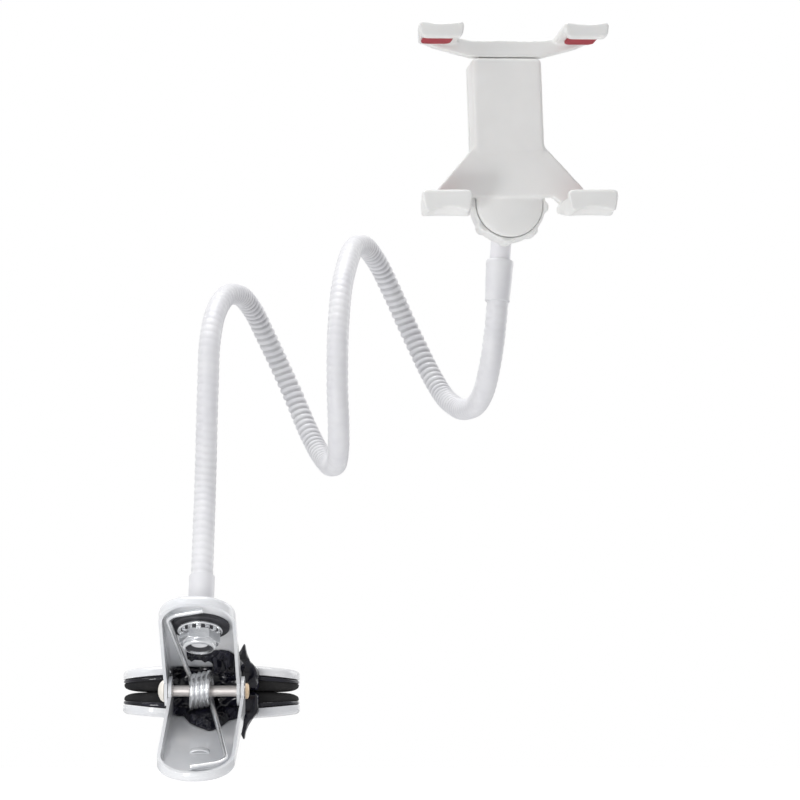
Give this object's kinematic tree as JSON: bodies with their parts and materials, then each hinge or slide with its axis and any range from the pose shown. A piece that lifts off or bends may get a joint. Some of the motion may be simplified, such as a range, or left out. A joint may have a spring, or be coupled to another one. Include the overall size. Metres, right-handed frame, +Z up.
{
  "type": "phone gooseneck holder",
  "caption": "Clip-on phone holder: a sprung steel clip, a ribbed gooseneck bent into a loose spiral, and a sprung claw cradle on a ball joint.",
  "frame": {"origin": "middle of the clip's grip, between its two foam pads", "axes": "+Z up along the holder's height; +Y the way a table edge leaves the jaws, away from the viewer; +X to the right of someone who faces the cradle"},
  "size_m": [0.1867, 0.1353, 0.2749],
  "materials": {
    "white_paint": "gloss white enamel on folded steel sheet",
    "zinc_wire": "bright zinc plated spring wire",
    "rod_steel": "bright steel rod with peened end",
    "bright_zinc": "bright plated washer and nut",
    "black_foam": "matte closed-cell foam",
    "black_vinyl": "glossy wrinkled soft vinyl",
    "black_rubber": "plain rubber",
    "white_skin": "satin white ribbed skin",
    "white_plastic": "satin warm white moulding",
    "red_pad": "soft crimson pad"
  },
  "bodies": {
    "upper_clip": {"upper_lever": "white_paint", "pivot_rivet": "rod_steel", "torsion_spring": "zinc_wire", "upper_jaw_pad": "black_foam", "upper_jaw_boot": "black_vinyl", "rubber_washer": "black_rubber", "clamp_washer": "bright_zinc", "lock_washer": "bright_zinc", "base_nut": "bright_zinc", "lower_ferrule": "white_skin", "gooseneck": "white_skin", "upper_ferrule": "white_skin", "ball_stud": "white_plastic"},
    "lower_clip": {"lower_lever": "white_paint", "lower_jaw_pad": "black_foam", "lower_jaw_boot": "black_vinyl"},
    "socket": {"socket_liner": "white_plastic"},
    "ring": {"ring_nut": "white_plastic"},
    "cradle": {"lower_fork": "white_plastic", "slide_cover": "white_plastic", "cover_screws": "bright_zinc", "return_spring": "zinc_wire", "claw_pad_lower_left": "red_pad", "claw_pad_lower_right": "red_pad"},
    "slider": {"upper_fork": "white_plastic", "claw_pad_upper_left": "red_pad", "claw_pad_upper_right": "red_pad"}
  },
  "joints": [
    {"name": "clip_hinge", "type": "hinge", "parent": "upper_clip", "child": "lower_clip", "pos_m": [0, -0.032, 0], "axis": [-1, 0, 0], "range_deg": [0, 36], "stiffness_Nm_per_rad": 0.4, "springref_deg": -68.75, "deforming": ["torsion_spring"]},
    {"name": "head_tilt", "type": "hinge", "parent": "upper_clip", "child": "socket", "pos_m": [0.1118, -0.0675, 0.1776], "axis": [1, 0, 0], "range_deg": [-25, 12]},
    {"name": "head_pan", "type": "hinge", "parent": "socket", "child": "ring", "pos_m": [0.1118, -0.0675, 0.1776], "axis": [0, 0, 1], "range_deg": [-28.5, 11.5]},
    {"name": "head_spin", "type": "hinge", "parent": "ring", "child": "cradle", "pos_m": [0.1118, -0.0675, 0.1776], "axis": [0.1478, -0.989, 0], "continuous": true},
    {"name": "cradle_slide", "type": "slide", "parent": "cradle", "child": "slider", "axis": [-0.0311, -0.0046, 0.9995], "range_m": [0, 0.026], "stiffness_N_per_m": 120, "springref_m": -0.03, "deforming": ["return_spring"]}
  ]
}
